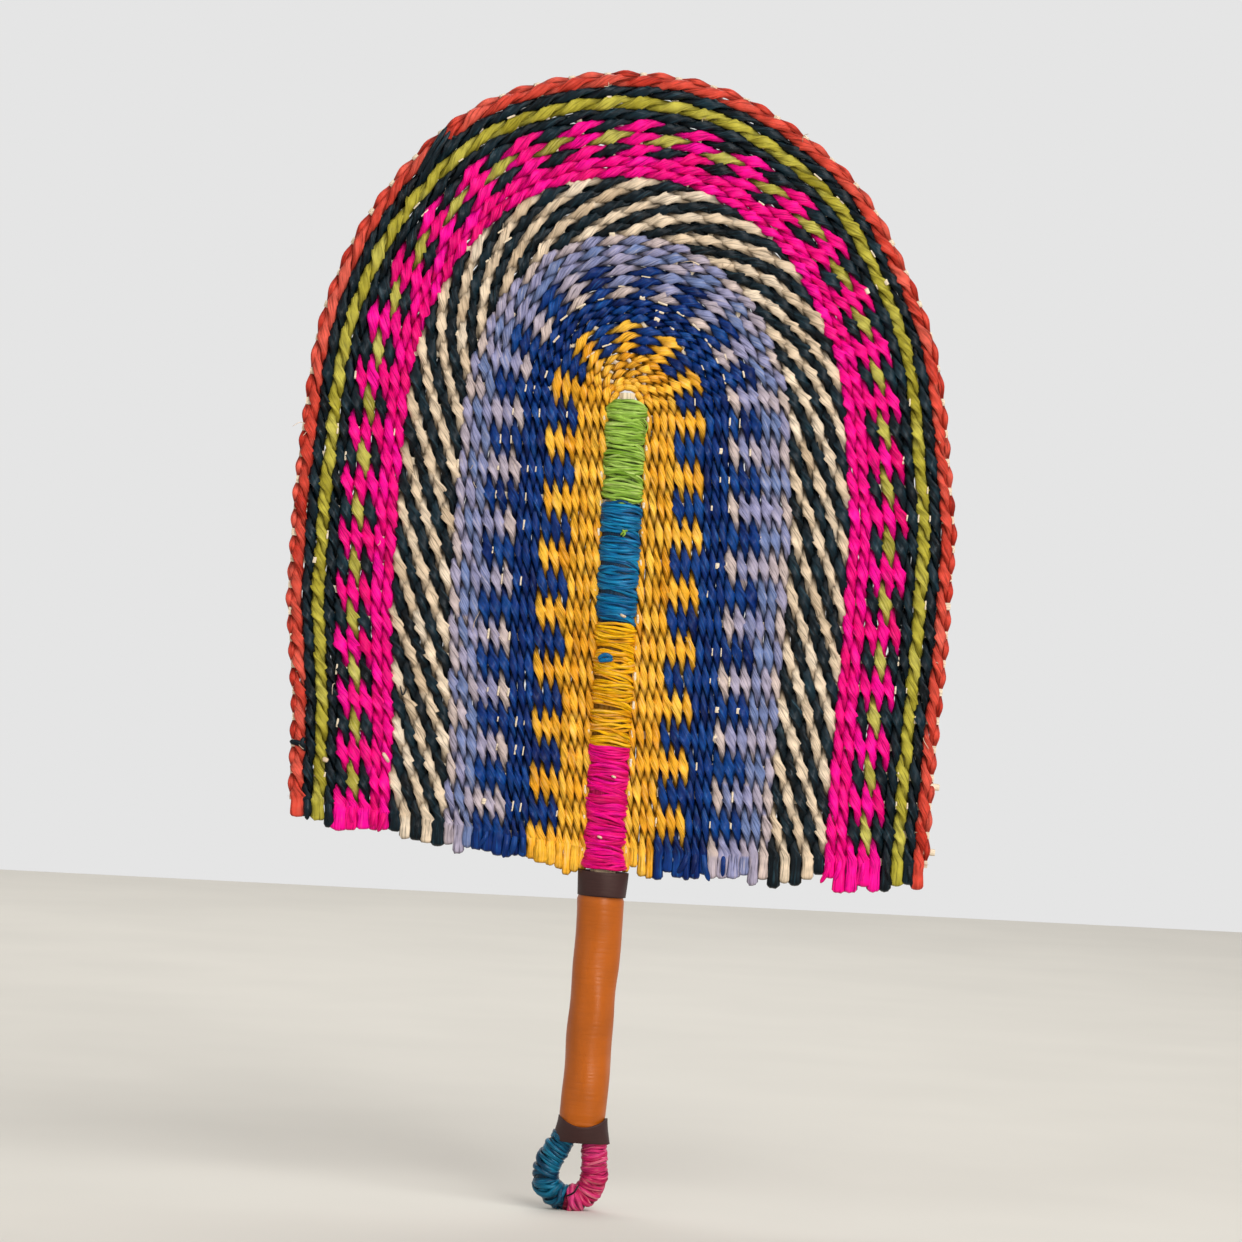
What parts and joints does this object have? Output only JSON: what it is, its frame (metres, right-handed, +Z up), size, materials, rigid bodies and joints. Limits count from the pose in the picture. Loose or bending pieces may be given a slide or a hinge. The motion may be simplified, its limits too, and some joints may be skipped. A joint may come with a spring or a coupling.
{
  "type": "woven hand fan",
  "caption": "Arched hand fan of twined dyed straw on a bound split stick, with a leather grip and a bound hanging loop.",
  "frame": {"origin": "middle of the leather grip, on its axis", "axes": "+Z up the fan along the panel's spine, -Y out of the front face, +X to the right seen from the front"},
  "size_m": [0.3216, 0.0244, 0.5521],
  "materials": {
    "straw_golden": "dyed grass straw, satin",
    "straw_royal_blue": "dyed grass straw, satin",
    "straw_lavender": "dyed grass straw, satin",
    "straw_cream": "undyed grass straw, satin",
    "straw_magenta": "dyed grass straw, satin",
    "straw_navy": "dyed grass straw, satin",
    "straw_lime": "dyed grass straw, satin",
    "straw_coral": "dyed grass straw, satin",
    "wrap_magenta": "dyed grass straw, satin",
    "wrap_gold": "dyed grass straw, satin",
    "wrap_teal": "dyed grass straw, satin",
    "wrap_green": "dyed grass straw, satin",
    "wrap_loop_teal": "dyed grass straw, satin",
    "wrap_loop_pink": "dyed grass straw, satin",
    "stake_culm": "split grass culm, bare",
    "stick_wood": "peeled wood, bare",
    "cane": "bent cane, bare",
    "leather_tan": "smooth vegetable-tanned, waxed",
    "leather_dark": "smooth dyed, matt"
  },
  "bodies": {
    "root": {"split_stick": "stick_wood", "leather_grip": "leather_tan", "neck_band": "leather_dark", "bottom_collar": "leather_dark", "loop_core": "cane", "loop_winding_teal": "wrap_loop_teal", "loop_winding_pink": "wrap_loop_pink", "spine_winding_magenta": "wrap_magenta", "spine_winding_gold": "wrap_gold", "spine_winding_teal": "wrap_teal", "spine_winding_green": "wrap_green", "cross_stake_01": "stake_culm", "cross_stake_02": "stake_culm", "cross_stake_03": "stake_culm", "cross_stake_04": "stake_culm", "cross_stake_05": "stake_culm", "cross_stake_06": "stake_culm", "cross_stake_07": "stake_culm", "cross_stake_08": "stake_culm", "cross_stake_09": "stake_culm", "cross_stake_10": "stake_culm", "cross_stake_11": "stake_culm", "cross_stake_12": "stake_culm", "cross_stake_13": "stake_culm", "cross_stake_14": "stake_culm", "cross_stake_15": "stake_culm", "cross_stake_16": "stake_culm", "crown_stakes": "stake_culm", "yellow_row_1": "straw_golden", "yellow_row_2": "straw_golden", "yellow_row_3": "straw_golden", "yellow_row_4": "straw_golden", "yellow_blue_row_1": "straw_golden", "yellow_blue_row_2": "straw_golden", "yellow_blue_row_3": "straw_golden", "blue_row_1": "straw_royal_blue", "blue_row_2": "straw_royal_blue", "blue_row_3": "straw_royal_blue", "lavender_blue_row_1": "straw_royal_blue", "lavender_blue_row_2": "straw_royal_blue", "lavender_blue_row_3": "straw_royal_blue", "lavender_row_1": "straw_lavender", "lavender_row_2": "straw_lavender", "lavender_row_3": "straw_lavender", "cream_black_row_1": "straw_cream", "cream_black_row_2": "straw_cream", "cream_black_row_3": "straw_cream", "cream_black_row_4": "straw_cream", "cream_black_row_5": "straw_cream", "magenta_row_1": "straw_magenta", "magenta_row_2": "straw_magenta", "spotted_row_1": "straw_magenta", "spotted_row_2": "straw_magenta", "spotted_row_3": "straw_magenta", "inner_navy_row": "straw_navy", "lime_row": "straw_lime", "outer_navy_row": "straw_navy", "coral_rim_row": "straw_coral"}
  },
  "joints": []
}
